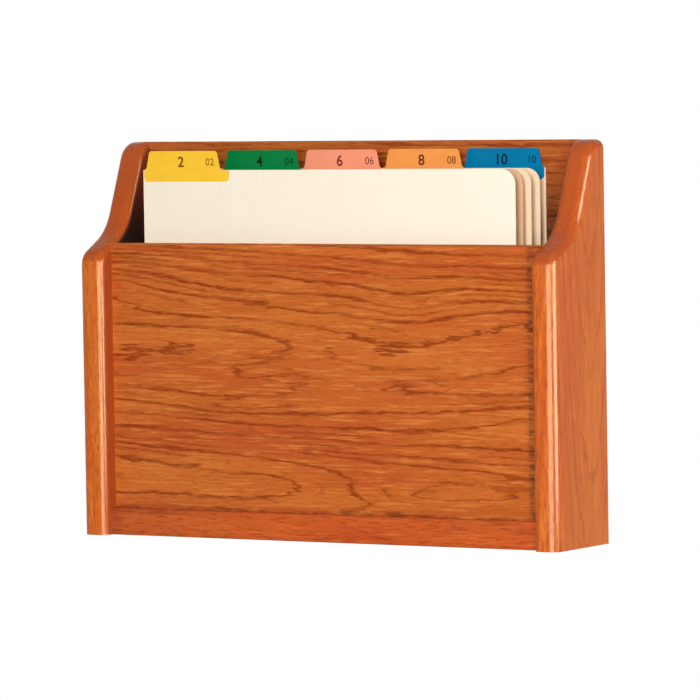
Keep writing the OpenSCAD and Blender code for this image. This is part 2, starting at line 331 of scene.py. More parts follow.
print("ring lines in mm:", round(LINE_WIDTH / MM, 2), "feathered:", round(FEATHER / MM, 2))

# %% [markdown]
# Cut lengthwise, the pores are thin dashes, so a ring line is never a clean stroke: it is a band
# of dashes. An image of oak would show them too, but it would repeat, and it wouldn't turn with
# the rings at the edge of a board. The group below takes a ring number and gives the colour, and
# the height of the surface for the bump. Every oak piece uses it with its own stain.

# %% Node group: oak grain
DASHES, DASH_SHARE = (110, 900, 900), 0.62
FINE_DASHES, FINE_SHARE = (230, 1900, 1900), 0.38
PORE_HOLLOW = 0.5
TONES, RED_CLOUDS, PALE_STREAKS = (9, 90, 90), (3, 26, 26), (38, 620, 620)


def oak_colour(group, place, value, flecks, line):
    """The wood's own tones, clouds and streaks, with flecks and lines in the dark stain."""
    tone = between(group, noise(group, place, TONES, 2.0, seed=9.4), 0.30, 0.70)
    redness = between(group, noise(group, place, RED_CLOUDS, 2.0, seed=12.6), 0.46, 0.74)
    streaks = noise(group, place, PALE_STREAKS, 2.0, seed=4.4)
    streaks = between(group, streaks, 0.50, 0.70, 0.0, 0.8)
    wood = blend_colour(group, tone, value["Middle"], value["Light"])
    for share, stain in ((redness, "Red"), (streaks, "Pale"), (flecks, "Dark"), (line, "Dark")):
        wood = blend_colour(group, share, wood, value[stain])
    return wood


def oak_grain_group():
    """Colour and height of stained oak from a place in grain directions and a ring number."""
    shades = [(name, COLOUR, WHITE) for name in ("Light", "Middle", "Red", "Pale", "Dark")]
    group, start, end = new_group("oak grain", [
        ("Place", VECTOR, None), ("Rings", FLOAT, 0.0), ("Slope", FLOAT, 150.0),
        ("Wander", FLOAT, 1.0), ("Line strength", FLOAT, 1.0), ("Fleck strength", FLOAT, 0.3)]
        + shades, [("Color", COLOUR), ("Height", FLOAT)])
    value = start.outputs
    place = value["Place"]
    rings = wandering(group, place, value["Rings"], value["Wander"])
    line = patchy_lines(group, place, rings, value["Slope"])
    dashes = noise(group, place, DASHES, 1.0, seed=5.9)
    fine = noise(group, place, FINE_DASHES, 1.0, seed=2.4)
    ticks = calc(group, "ADD", times(group, dashes, DASH_SHARE), times(group, fine, FINE_SHARE))
    pores = between(group, ticks, 0.50, 0.64)
    in_line = times(group, line, between(group, ticks, 0.36, 0.56, 0.55, 1.0))
    dark = calc(group, "MULTIPLY", in_line, value["Line strength"], clamp=True)
    flecks = times(group, pores, value["Fleck strength"])
    hollow = calc(group, "MAXIMUM", times(group, pores, PORE_HOLLOW), dark)
    group.links.new(oak_colour(group, place, value, flecks, dark), end.inputs["Color"])
    group.links.new(calc(group, "SUBTRACT", 1.0, hollow), end.inputs["Height"])
    return group


oak_grain = oak_grain_group()
print("node group:", oak_grain.name, "with", len(oak_grain.nodes), "nodes")

# %% [markdown]
# Every pattern here is placed by Object coordinates, which are metres on the holder itself, so it
# stays with a piece that moves. A UV map could do that too, but its seams would break the rings at
# each edge of a board. The grain runs along another axis in each piece, so the coordinates are put
# in the order that it needs.

# %% Grain directions and dressing
def place_parts(tree):
    """The X, Y and Z of a place on the object."""
    return parts_of(tree, add(tree, "ShaderNodeTexCoord").outputs["Object"])


def object_place(tree, order):
    """Object coordinates in another order, so that x runs along the grain."""
    parts = place_parts(tree)
    picked = [parts["XYZ".index(letter)] for letter in order]
    return add(tree, "ShaderNodeCombineXYZ", dict(enumerate(picked))).outputs[0]


def dress(material, *names):
    """Puts one material on whole nodes of the frame."""
    for name in names:
        for socket in nodes[name].material_slots:
            socket.material = material
    print(material.name, "on", ", ".join(names))


print("to be dressed:", ", ".join(sorted(nodes)))

# %% [markdown]
# A ring line is about as wide near an arch's tip, where the rings lie far apart, as where they
# crowd. If its width were a share of a ring, the tips would swell into blots. So the ring number
# is also worked out at two spots close by, and its rise turns a width in metres into one in rings.

# %% Slope of the rings
NUDGE = 1.0 * MM
LEAST_SLOPE = 40


def rings_and_slope(tree, place, rings_of):
    """The ring number, and how many rings one metre of the face would cross there."""
    rings = rings_of(tree, place)
    rises = []
    for step in ((NUDGE, 0, 0), (0, NUDGE, 0)):
        moved = add(tree, "ShaderNodeVectorMath", {0: place, 1: step}, operation="ADD").outputs[0]
        rise = calc(tree, "SUBTRACT", rings_of(tree, moved), rings)
        rises.append(times(tree, rise, rise))
    steepness = calc(tree, "SQRT", calc(tree, "ADD", *rises))
    slope = calc(tree, "MAXIMUM", calc(tree, "DIVIDE", steepness, NUDGE), LEAST_SLOPE)
    return rings, slope


print("widest rings in mm:", 1 / LEAST_SLOPE / MM)

# %% [markdown]
# All the oak has the same finish: an orange-brown stain under satin lacquer. The stain is the
# colour of the wood. The lacquer could be the shader's clear coat, but a coat lies flat over the
# grain. Here it is the shader's own gloss, so that the bump of the pores, which sink the lacquer a
# little, also breaks up the long white highlights on the boards.

# %% Oak: stain and lacquer
PORE_DEPTH = 0.06 * MM
PORE_STRENGTH = 0.6
LACQUER = linear(255, 246, 220)
FLAT_GLOSS, BOARD_GLOSS = 0.09, 0.11
# Near black: painted shade in the pocket, at the panel's right end and the rail's left end, and
# stain in the panel's foot joint.
DARK_SHADE_AND_STAIN = linear(28, 32, 32)
# Reddish: end stain across the grain, and painted shade on the boards' strips beside the panel.
END_STAIN_AND_STRIP_SHADE = linear(172, 71, 33)
STAIN = dict(Light=linear(208, 112, 46), Middle=linear(194, 98, 38),
             Red=linear(192, 86, 38), Pale=linear(220, 128, 60), Dark=linear(136, 49, 6))


def finish_oak(name, order, rings_of, stain=STAIN, gloss=FLAT_GLOSS, inside=None, across=None,
               **grain):
    """A lacquered oak material, from the order of its grain directions and its ring pattern.

    The inside function gives the share of near-black: painted shade in the pocket, at the panel's
    right end and at the rail's left end, and stain in the panel's foot joint. The across function
    gives the share of end stain, and of painted shade on the strips beside the panel. A grain
    value can be a function of the tree too.
    """
    material, tree, shader = new_material(name, Roughness=0.15, Specular_IOR_Level=gloss,
                                          Specular_Tint=LACQUER)
    place = object_place(tree, order)
    grain = {key: value(tree) if callable(value) else value for key, value in grain.items()}
    rings, slope = rings_and_slope(tree, place, rings_of)
    look = use_group(tree, oak_grain, Place=place, Rings=rings, Slope=slope, **stain, **grain)
    colour = look["Color"]
    # The extra colours carry end stain, real stain in the panel's foot joint, and painted shade.
    for share_of, extra_colour in ((across, END_STAIN_AND_STRIP_SHADE), (inside, DARK_SHADE_AND_STAIN)):
        if share_of:
            colour = blend_colour(tree, share_of(tree), colour, extra_colour)
    paint(tree, shader, colour, look["Height"], PORE_DEPTH, PORE_STRENGTH)
    return material


print("shades of the usual stain:", ", ".join(STAIN))

# %% [markdown]
# The front panel is oak plywood with the grain running across. Its figure is what the eye meets
# first: tall arches that point right in the upper half, straight lines above them, and a second
# set of arches in the lower right. It is made of two hearts, one behind each set, and the smaller
# ring number wins where they meet. Small dents push single rings aside, as knots and branches do.

# %% Node group: a dent in the rings
def ring_dent_group():
    """A smooth hill of ring number around one spot of a face."""
    group, start, end = new_group("ring dent", [
        ("Place", VECTOR, None), ("Along", FLOAT, 0.0), ("Across", FLOAT, 0.0),
        ("Length", FLOAT, 0.05), ("Width", FLOAT, 0.01), ("Rings", FLOAT, 1.0)],
        [("Rings", FLOAT)])
    value = start.outputs
    place = parts_of(group, value["Place"])
    along = calc(group, "DIVIDE", calc(group, "SUBTRACT", place[0], value["Along"]),
                 value["Length"])
    across = calc(group, "DIVIDE", calc(group, "SUBTRACT", place[1], value["Across"]),
                  value["Width"])
    squares = calc(group, "MULTIPLY_ADD", along, along, times(group, across, across))
    hill = calc(group, "EXPONENT", times(group, squares, -1.0))
    group.links.new(times(group, hill, value["Rings"]), end.inputs["Rings"])
    return group


ring_dent = ring_dent_group()
print("node group:", ring_dent.name)

# %% [markdown]
# The places and sizes of the hearts and dents were judged against the panel's lines, and the two
# start numbers slide the rings until their lines lie right. More dents could follow every wave of
# every line, but a few are easier to change, and noise bends the lines enough.

# %% Front panel figure
PANEL_FACE = 57.5 * MM
UPPER_HEART = dict(Heart_across=-115 * MM, Heart_drift=-0.045, Heart_depth=PANEL_FACE + 32 * MM,
                   Taper=0.005, Ring=7.2 * MM)
LOWER_HEART = dict(Heart_across=-201 * MM, Heart_drift=-0.041, Heart_depth=PANEL_FACE + 28 * MM,
                   Taper=0.023, Ring=5.7 * MM)
UPPER_START = -11.22
LOWER_START = -8.69
HEART_BLEND = 1.0


def dents(tree, place, rings, spots):
    """Adds each dent to the rings; its place and size are in mm, its height in rings."""
    for along, across, length, width, height in spots:
        hill = use_group(tree, ring_dent, Place=place, Along=along * MM, Across=across * MM,
                         Length=length * MM, Width=width * MM, Rings=height)["Rings"]
        rings = calc(tree, "ADD", rings, hill)
    return rings


def panel_figure_group():
    """Two hearts and the dents that bend single rings, as on the front panel."""
    tree, start, end = new_group("panel figure", [("Place", VECTOR, None)], [("Rings", FLOAT)])
    place = start.outputs["Place"]
    upper = use_group(tree, log_rings, Place=place, **UPPER_HEART)["Rings"]
    lower = use_group(tree, log_rings, Place=place, **LOWER_HEART)["Rings"]
    rings = calc(tree, "SMOOTH_MIN", calc(tree, "ADD", upper, UPPER_START),
                 calc(tree, "ADD", lower, LOWER_START), HEART_BLEND)
    middle = [(51, -110, 100, 18, 1.5), (-69, -117, 49, 16, 1.5), (-78, -114, 55, 36, -1.1)]
    hook = [(66, -70, 32, 26, 0.6), (159, -82, 37, 9, -0.8)]
    top_left = [(-164, -58, 61, 13, -1.0), (-100, -71, 100, 6, -0.5), (-76, -78, 97, 18, 1.0)]
    low = [(182, -149, 85, 17, 1.5), (92, -201, 84, 12, 1.5), (-35, -198, 30, 10, -0.35)]
    tips = [(-25, -103, 25, 6, -0.2), (0, -131, 25, 6, 0.2)]
    rings = dents(tree, place, rings, middle + hook + top_left + low + tips)
    tree.links.new(rings, end.inputs["Rings"])
    return tree


def panel_rings(tree, place):
    """The front panel's ring number at a place."""
    return use_group(tree, panel_figure, Place=place)["Rings"]


panel_figure = panel_figure_group()
print("node group:", panel_figure.name, "with", len(panel_figure.nodes), "nodes")

# %% [markdown]
# Beside two of the panel's joints the colour is darker. At its right end, where the right board's
# edge stands in front of it, this is painted shade; along the rail it is stain left in the joint.
# A dark line would look drawn, so noise breaks it into dashes.

# %% Front panel oak
JOINT_LEFT, JOINT_RIGHT = 159.5 * MM, 163 * MM
PANEL_FOOT = -216 * MM
FOOT_STAIN = 3 * MM
JOINT_DASHES = (90, 260, 260)
LEAST_JOINT_DARK, MOST_JOINT_DARK = 0.15, 0.6


def joint_stain_and_shade(tree):
    """Painted shade at the panel's right end, and stain in the joint at its foot, in dashes."""
    place = object_place(tree, "XZY")
    parts = parts_of(tree, place)
    right = between(tree, parts[0], JOINT_LEFT, JOINT_RIGHT)
    foot = between(tree, parts[1], PANEL_FOOT, PANEL_FOOT + FOOT_STAIN, 1.0, 0.0)
    dashes = noise(tree, place, JOINT_DASHES, 2.0, seed=11.3)
    uneven = between(tree, dashes, 0.40, 0.66, LEAST_JOINT_DARK, MOST_JOINT_DARK)
    return times(tree, calc(tree, "MAXIMUM", right, foot), uneven)


dress(finish_oak("panel_oak", "XZY", panel_rings, inside=joint_stain_and_shade, Wander=0.55,
                 Line_strength=0.85, Fleck_strength=0.30), "front_panel")

# %% [markdown]
# The pocket's inner faces are given painted shade: a share of a near-black colour makes them
# nearly black, most of all low down, and lets the grain show through.

# %% Painted shade inside the pocket
INNER_FACE = 170 * MM
BACK_THICKNESS = 6 * MM
EDGE_EASE = 1.2 * MM
POCKET_RIM, POCKET_LOW = 36 * MM, -30 * MM
# The share of painted shade at the rim, and how much it grows down to the front panel's top.
ON_BOARDS, ON_BACK = (0.4, 0.55), (0.16, 0.56)
IN_FRONT = 0.1


def shade_by_depth(tree, place, at_rim, growth):
    """A share of painted shade that grows with the depth of a place in the pocket."""
    depth = between(tree, place["Z"], POCKET_LOW, POCKET_RIM, 1.0, 0.0)
    return calc(tree, "MULTIPLY_ADD", depth, growth, at_rim)


def painted_shade_on_board(tree):
    """Painted shade on a side board's inner face, with only a trace in front of the panel."""
    place = place_parts(tree)
    sideways = calc(tree, "ABSOLUTE", place["X"])
    face = between(tree, sideways, INNER_FACE, INNER_FACE + EDGE_EASE, 1.0, 0.0)
    behind = between(tree, place["Y"], -PANEL_FACE, -PANEL_FACE + EDGE_EASE, IN_FRONT, 1.0)
    return times(tree, times(tree, face, behind), shade_by_depth(tree, place, *ON_BOARDS))


def painted_shade_on_back(tree):
    """Painted shade on the pocket's side of the back panel."""
    place = place_parts(tree)
    face = between(tree, place["Y"], -BACK_THICKNESS, -BACK_THICKNESS + EDGE_EASE, 1.0, 0.0)
    return times(tree, shade_by_depth(tree, place, *ON_BACK), face)


print("painted shade low in the pocket:", round(sum(ON_BOARDS), 2), round(sum(ON_BACK), 2))

# %% [markdown]
# A face that cuts across the grain drinks in more stain, so the S-curves and the boards' ends are
# redder. The narrow strips beside the panel and the rail's left end are made darker with painted
# shade, and the pores are cut open along the boards' front edges. Each such face could have a
# material of its own, but they would meet in hard lines, so shares that change with place and
# direction are used.

# %% Stain and painted shade on the boards and the rail
TURN_FROM, TURN_TO, TURNED_SHARE = 0.05, 0.4, 0.62
# TURNED_SHARE is end stain; STRIP_SHARE and the rail's two shares are painted shade.
STRIP_EASE, STRIP_SHARE = 2 * MM, 0.68
RAIL_END_REACH, RAIL_END_SHARE, RAIL_LEFT_SHARE = 15 * MM, 0.18, 0.14
FLECKS_FRONT, FLECKS_BACK = -68 * MM, -60 * MM
FRONT_FLECKS, FACE_FLECKS = 0.55, 0.15


def end_stain_and_strip_shade(tree):
    """End stain where a board turns across its grain, and painted shade on its strip by the panel.
    """
    place = place_parts(tree)
    normal = add(tree, "ShaderNodeTexCoord").outputs["Normal"]
    upwards = calc(tree, "ABSOLUTE", parts_of(tree, normal)["Z"])
    turned = between(tree, upwards, TURN_FROM, TURN_TO, 0.0, TURNED_SHARE)
    sideways = calc(tree, "ABSOLUTE", place["X"])
    strip = between(tree, sideways, INNER_FACE, INNER_FACE + STRIP_EASE, STRIP_SHARE, 0.0)
    return calc(tree, "MAXIMUM", turned, strip)


def rail_end_shade(tree):
    """Painted shade towards the rail's left end, beside the left board."""
    along = place_parts(tree)["X"]
    near = between(tree, along, -INNER_FACE, -INNER_FACE + RAIL_END_REACH, RAIL_END_SHARE, 0.0)
    return calc(tree, "ADD", near, between(tree, along, -INNER_FACE, 0.0, RAIL_LEFT_SHARE, 0.0))


def front_flecks(tree):
    """Stronger flecks on a board's front edge, where the pores are cut open."""
    return between(tree, place_parts(tree)["Y"], FLECKS_FRONT, FLECKS_BACK, FRONT_FLECKS,
                   FACE_FLECKS)


print("end stain and painted shade:", TURNED_SHARE, "on the curves,", STRIP_SHARE, "on the strips")

# %% [markdown]
# The side boards are solid oak with the grain upright. Their heart lies inside the pocket, so
# their front edges show straight lines and their outer faces show arches. One material could serve
# both, but no two boards of a case are cut alike, so each has rings of its own.

# %% Side boards
def plain_rings(**heart):
    """A ring pattern with one heart."""
    return lambda tree, place: use_group(tree, log_rings, Place=place, **heart)["Rings"]


BOARD_STAIN = dict(Light=linear(222, 118, 44), Middle=linear(208, 104, 36),
                   Red=linear(212, 94, 33), Pale=linear(226, 124, 48), Dark=linear(166, 60, 16))
BOARD_FINISH = dict(stain=BOARD_STAIN, gloss=BOARD_GLOSS, inside=painted_shade_on_board,
                    across=end_stain_and_strip_shade, Fleck_strength=front_flecks)

dress(finish_oak(
    "right_board_oak", "ZYX",
    plain_rings(Heart_across=-22 * MM, Heart_depth=-165 * MM, Taper=-0.08, Ring=5.5 * MM),
    Wander=0.6, Line_strength=0.42, **BOARD_FINISH), "right_side")
dress(finish_oak(
    "left_board_oak", "ZYX",
    plain_rings(Heart_across=-30 * MM, Heart_depth=140 * MM, Taper=0.05, Ring=8 * MM),
    Wander=0.7, Line_strength=0.3, **BOARD_FINISH), "left_side")

# %% [markdown]
# The rail, the back panel and the two thin edge bands have their grain running across the holder.
# Each was cut from another board, so each has a ring pattern and a shade of its own: the rail is
# the reddest, and the bands, which close the plywood's top edges, are a little greyer.

# %% Rail, back panel and edge bands
RAIL_STAIN = dict(Light=linear(214, 100, 41), Middle=linear(202, 88, 36),
                  Red=linear(192, 78, 33), Pale=linear(218, 108, 50), Dark=linear(134, 48, 20))
BAND_STAIN = dict(Light=linear(196, 108, 56), Middle=linear(178, 92, 44),
                  Red=linear(160, 74, 36), Pale=linear(206, 122, 66), Dark=linear(104, 42, 18))

dress(finish_oak(
    "rail_oak", "XYZ",
    plain_rings(Heart_across=60 * MM, Heart_depth=190 * MM, Taper=0.02, Ring=7 * MM),
    stain=RAIL_STAIN, inside=rail_end_shade, Wander=0.5, Line_strength=0.3, Fleck_strength=0.45),
    "bottom_board")
dress(finish_oak(
    "back_oak", "XZY",
    plain_rings(Heart_across=-60 * MM, Heart_depth=50 * MM, Taper=0.05, Ring=7 * MM),
    inside=painted_shade_on_back, Wander=0.9, Line_strength=0.8, Fleck_strength=0.25), "back_panel")
dress(finish_oak(
    "band_oak", "XYZ",
    plain_rings(Heart_across=40 * MM, Heart_depth=-90 * MM, Taper=0.01, Ring=4 * MM),
    stain=BAND_STAIN, Wander=0.6, Line_strength=0.6, Fleck_strength=0.4),
    "front_edge_band", "back_edge_band")

# %% [markdown]
# The dowels and the brads are hardly seen, except from behind. Beech is pale and speckled with
# short rays, and the brads are drawn steel with duller smears. A flat colour would nearly do, but
# noise stretched one way is as quick to write.

# %% Dowels and brad steel
BEECH, BEECH_SHADE, BEECH_RAY = linear(222, 186, 140), linear(200, 160, 116), linear(150, 104, 70)
STEEL, STEEL_SMEAR = linear(170, 168, 164), linear(120, 118, 116)
RAYS, BEECH_TONES, SMEARS = (300, 2400, 2400), (40, 300, 300), (900, 900, 120)


def beech():
    """Pale beech with short brown flecks along the dowel."""
    material, tree, shader = new_material("beech", Roughness=0.6)
    place = object_place(tree, "XYZ")
    flecks = between(tree, noise(tree, place, RAYS, 1.0, seed=2.2), 0.56, 0.66)
    tone = noise(tree, place, BEECH_TONES, 2.0, seed=4.1)
    wood = blend_colour(tree, tone, BEECH, BEECH_SHADE)
    paint(tree, shader, blend_colour(tree, times(tree, flecks, 0.5), wood, BEECH_RAY))
    return material


def steel():
    """Drawn steel wire, slightly dulled."""
    material, tree, shader = new_material("drawn_steel", Metallic=1.0)
    smear = noise(tree, object_place(tree, "XYZ"), SMEARS, 3.0, seed=6.3)
    paint(tree, shader, blend_colour(tree, smear, STEEL, STEEL_SMEAR))
    tree.links.new(between(tree, smear, 0.3, 0.7, 0.28, 0.45), shader.inputs["Roughness"])
    return material


drawn_steel = steel()
dress(beech(), "bottom_dowels")

# %% [markdown]
# Eleven brads hold the back: a column up each side board and a row along the bottom board. They
# could be placed one by one, but they repeat by a rule, so Geometry Nodes make them, from a tree
# with a named input for each size.

# %% Geometry Nodes: sizes of the brads and their rows
BRAD = {"Head radius": 1.1 * MM, "Head thickness": 0.6 * MM, "Shank radius": 0.65 * MM,
        "Length": 22 * MM, "Point length": 1.8 * MM}
BRAD_ROWS = {"Rows up": 4, "Step up": 69.333 * MM, "Column": 173 * MM, "Lowest": -203 * MM,
             "Rows across": 3, "Step across": 138 * MM, "Row height": -225.5 * MM}


def vector(tree, x=0.0, y=0.0, z=0.0):
    """A vector from three numbers or sockets."""
    return add(tree, "ShaderNodeCombineXYZ", {0: x, 1: y, 2: z}).outputs[0]


print("one brad in mm:", {label: round(value / MM, 2) for label, value in BRAD.items()})

# %% [markdown]
# A brad is a wire with a flat head and a blunt point. Cylinders could make it, but their faces
# would cut through each other. Here it grows in one skin from the face of its head, by extruding
# and scaling the end face.

# %% Geometry Nodes: one brad
HEAD_CHAMFER = 0.15 * MM
FACE_DEPTH = HEAD_CHAMFER / 5
HEAD_SIDES = 24
START_SHARE = 0.8
POINT_SHARE = 0.15


def one_brad(tree, value):
    """A brad with its head at the origin and its point up."""
    start = times(tree, value["Head radius"], START_SHARE)
    disc = add(tree, "GeometryNodeMeshCylinder",
               {"Vertices": HEAD_SIDES, "Radius": start, "Depth": FACE_DEPTH})
    lifted = add(tree, "GeometryNodeTransform", {"Geometry": disc.outputs["Mesh"],
                                                 "Translation": (0, 0, FACE_DEPTH / 2)})
    under_head = calc(tree, "SUBTRACT", value["Head thickness"], HEAD_CHAMFER + FACE_DEPTH)
    shank = calc(tree, "SUBTRACT", calc(tree, "SUBTRACT", value["Length"], value["Point length"]),
                 value["Head thickness"])
    to_shank = calc(tree, "DIVIDE", value["Shank radius"], value["Head radius"])
    steps = [(HEAD_CHAMFER, 1 / START_SHARE), (under_head, 1.0), (0.0, to_shank), (shank, 1.0),
             (value["Point length"], POINT_SHARE)]
    mesh, end = lifted.outputs[0], disc.outputs["Top"]
    for reach, scale in steps:
        grown = add(tree, "GeometryNodeExtrudeMesh",
                    {"Mesh": mesh, "Selection": end, "Offset Scale": reach, "Individual": False},
                    mode="FACES").outputs
        end = grown["Top"]
        mesh = add(tree, "GeometryNodeScaleElements",
                   {"Geometry": grown["Mesh"], "Selection": end, "Scale": scale},
                   domain="FACE").outputs[0]
    return mesh


print("the head's chamfer in mm:", round(HEAD_CHAMFER / MM, 2))

# %% [markdown]
# The rows are three lines of points: one up each side and one along the foot, spread evenly from
# its middle. Every point gets the brad, turned to look forwards. An Array modifier could repeat it
# too, but each line would need its own.

# %% Geometry Nodes: the brads in their rows
def brad_tree():
    """Brads on two upright columns and one level row, driven forwards from the wall face."""
    sockets = [(label, "NodeSocketInt" if isinstance(value, int) else FLOAT, value)
               for label, value in (BRAD | BRAD_ROWS).items()]
    tree, start, end = new_group(
        "back brads", sockets + [("Material", "NodeSocketMaterial", None)],
        [("Geometry", "NodeSocketGeometry")], tree_type="GeometryNodeTree")
    value = start.outputs
    left = times(tree, value["Column"], -1.0)
    first = times(tree, value["Step across"],
                 times(tree, calc(tree, "SUBTRACT", value["Rows across"], 1.0), -0.5))
    joined = tree.nodes.new("GeometryNodeJoinGeometry")
    up, across = vector(tree, z=value["Step up"]), vector(tree, value["Step across"])
    lines = [(value["Rows up"], left, value["Lowest"], up),
             (value["Rows up"], value["Column"], value["Lowest"], up),
             (value["Rows across"], first, value["Row height"], across)]
    for count, x, z, step in lines:
        line = add(tree, "GeometryNodeMeshLine",
                   {"Count": count, "Start Location": vector(tree, x, z=z), "Offset": step})
        tree.links.new(line.outputs[0], joined.inputs[0])
    set_out = add(tree, "GeometryNodeInstanceOnPoints",
                  {"Points": joined.outputs[0], "Instance": one_brad(tree, value),
                   "Rotation": (pi / 2, 0, 0)})
    real = add(tree, "GeometryNodeRealizeInstances", {"Geometry": set_out.outputs[0]})
    finished = add(tree, "GeometryNodeSetMaterial",
                   {"Geometry": real.outputs[0], "Material": value["Material"]})
    tree.links.new(finished.outputs[0], end.inputs[0])
    return tree


print("brads in the rows:", 2 * BRAD_ROWS["Rows up"] + BRAD_ROWS["Rows across"])

# %% [markdown]
# A tree's result is there only while its modifier is live, and other programs can't run it. So it
# is made a plain mesh, which takes the place of the frame's plain pins.

# %% Brads as a plain mesh
def as_mesh(source):
    """What an object shows, as a plain mesh; the object itself is removed."""
    mesh = bpy.data.meshes.new_from_object(source.evaluated_get(
        bpy.context.evaluated_depsgraph_get()))
    bpy.data.objects.remove(source)
    return mesh


def grown_mesh(name, tree, values, material):
    """The mesh that a tree makes from its values, as a plain object without a modifier."""
    holder = in_scene(name, bpy.data.meshes.new(name))
    modifier = holder.modifiers.new("grow", "NODES")
    modifier.node_group = tree
    for socket in tree.interface.items_tree:
        if socket.name in values:
            modifier[socket.identifier] = values[socket.name]
        elif socket.name == "Material":
            modifier[socket.identifier] = material
    return in_scene(name, as_mesh(holder))


brads = grown_mesh("brads", brad_tree(), BRAD | BRAD_ROWS, drawn_steel)
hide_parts("back_brads")
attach(brads, "case")

# %% [markdown]
# The guides are manila card, a pale buff board with a faint cloud of long fibres. It's nearly
# white, so what makes it card and not paint is a weak mottle, a few darker fibres and a soft, dull
# surface. The rear guides' right edges, which stand behind the guide in front, get a painted warm
# shade, most of all the second. The film on each tab melts round the tab's cut edge, so the card
# takes the film's colour above the tab's foot.

# %% Manila card
GUIDES = range(1, 6)
CARD, CARD_CLOUD, FIBRE = linear(252, 240, 219), linear(251, 238, 216), linear(200, 168, 128)
CLOUDS, FIBRES = (60, 60, 60), (500, 1800, 1800)
FIBRE_SHARE = 0.10
FIBRE_RELIEF = 0.02 * MM
# Painted shade for the rear guides' right edges, deepest on the second guide.
EDGE_SHADE, DEEPER_EDGE_SHADE = linear(253, 222, 186), linear(224, 180, 140)
RIGHT_EDGES = dict(zip(GUIDES, (CARD, DEEPER_EDGE_SHADE, EDGE_SHADE, EDGE_SHADE, EDGE_SHADE)))
EDGE_FROM, EDGE_TO = 128 * MM, 140 * MM
TAB_HEIGHT = 13 * MM
MELT_EASE = 0.5 * MM
FILM_COLOURS = dict(yellow=linear(255, 201, 56), green=linear(0, 126, 62),
                    pink=linear(252, 157, 123), orange=linear(248, 160, 82),
                    blue=linear(0, 122, 168))


def manila(name, edge, tab, tab_foot):
    """Buff card with fine fibres, a painted shade at its right edge and the film's colour on its
    tab.
    """
    material, tree, shader = new_material(name, Roughness=0.75, Specular_IOR_Level=0.05)
    place = object_place(tree, "XYZ")
    parts = parts_of(tree, place)
    cloud = noise(tree, place, CLOUDS, 3.0, seed=8.8)
    fibres = between(tree, noise(tree, place, FIBRES, 2.0, seed=3.7), 0.58, 0.72)
    card = blend_colour(tree, between(tree, cloud, 0.3, 0.7), CARD, CARD_CLOUD)
    card = blend_colour(tree, between(tree, parts["X"], EDGE_FROM, EDGE_TO), card, edge)
    card = blend_colour(tree, times(tree, fibres, FIBRE_SHARE), card, FIBRE)
    on_tab = between(tree, parts["Z"], tab_foot, tab_foot + MELT_EASE)
    paint(tree, shader, blend_colour(tree, on_tab, card, tab), fibres, FIBRE_RELIEF)
    return material


for i, colour in zip(GUIDES, FILM_COLOURS.values()):
    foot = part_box(f"guide_{i}")[1][2] - TAB_HEIGHT
    dress(manila(f"manila_{i}", RIGHT_EDGES[i], colour, foot), f"guide_{i}")

# %% [markdown]
# Each tab is wrapped in a coloured plastic film, heat-sealed onto the card. Its surface is smooth
# but not flat: it ripples softly where it was pressed. The ripples could be modelled, but they are
# only hundredths of a millimetre high, so a bump is enough. The five materials differ only in
# colour, so one function makes them all.

# %% Tab films
RIPPLES = (60, 60, 160)
RIPPLE_HEIGHT = 0.08 * MM
THICK_FILM = 0.95


def film(name, colour):
    """Glossy coloured film with soft ripples."""
    material, tree, shader = new_material(name, Roughness=0.3, Specular_IOR_Level=0.1)
    ripple = noise(tree, object_place(tree, "XYZ"), RIPPLES, 2.0, seed=5.2)
    deep = [level * THICK_FILM for level in colour[:3]] + [1]
    tone = blend_colour(tree, between(tree, ripple, 0.35, 0.65), deep, colour)
    paint(tree, shader, tone, ripple, RIPPLE_HEIGHT)
    return material


for i, (name, colour) in zip(GUIDES, FILM_COLOURS.items()):
    dress(film(f"{name}_film", colour), f"tab_film_{i}")

# %% [markdown]
# The tabs are numbered, with a large figure in the middle and a small one near the right end.
# Black ink would stand out too much: on a real tab a little of the film's colour comes through. So
# each tab gets its own ink.

# %% Ink
INK_TINT = (0.15, 0.08, 0.10)
THIN_INK = 1.8
INK_SPECKS = (700, 700, 700)
LEAST_UNDER = 0.02


def ink_on(name, film_colour):
    """Dull ink with slightly uneven cover, tinted by the film under it."""
    material, tree, shader = new_material(name, Roughness=0.6, Specular_IOR_Level=0.1)
    cover = noise(tree, object_place(tree, "XYZ"), INK_SPECKS, 2.0, seed=1.9)
    thick = [max(level, LEAST_UNDER) * tint for level, tint in zip(film_colour, INK_TINT)]
    thin = [level * THIN_INK for level in thick]
    paint(tree, shader, blend_colour(tree, cover, thick + [1], thin + [1]))
    return material


inks = [ink_on(f"{name}_ink", colour) for name, colour in FILM_COLOURS.items()]
print("inks:", ", ".join(ink.name for ink in inks))

# %% [markdown]
# The figures could be a picture on the film, but then they would blur close up. Blender's text
# object sets them, and as a thin mesh on the film each pair rides with its own guide.

# %% Print on the tabs
INK_LIFT = 0.01 * MM
INK_THICKNESS = 0.03 * MM
BIG_FIGURE, BIG_SHIFT, BIG_WEIGHT = 10.2 * MM, -1.5 * MM, 0.2 * MM
SMALL_FIGURE, SMALL_SHIFT = 7.2 * MM, 22.2 * MM
FIGURES_BELOW_TOP = 7.9 * MM
HALF_TAB_FOOT = 32.69 * MM


def tab_middle(i):
    """The middle of a tab: the tabs are spread evenly from one side of the guide to the other."""
    low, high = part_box(f"guide_{i}")
    pitch = (high[0] - low[0] - 2 * HALF_TAB_FOOT) / (len(GUIDES) - 1)
    return low[0] + HALF_TAB_FOOT + (i - 1) * pitch


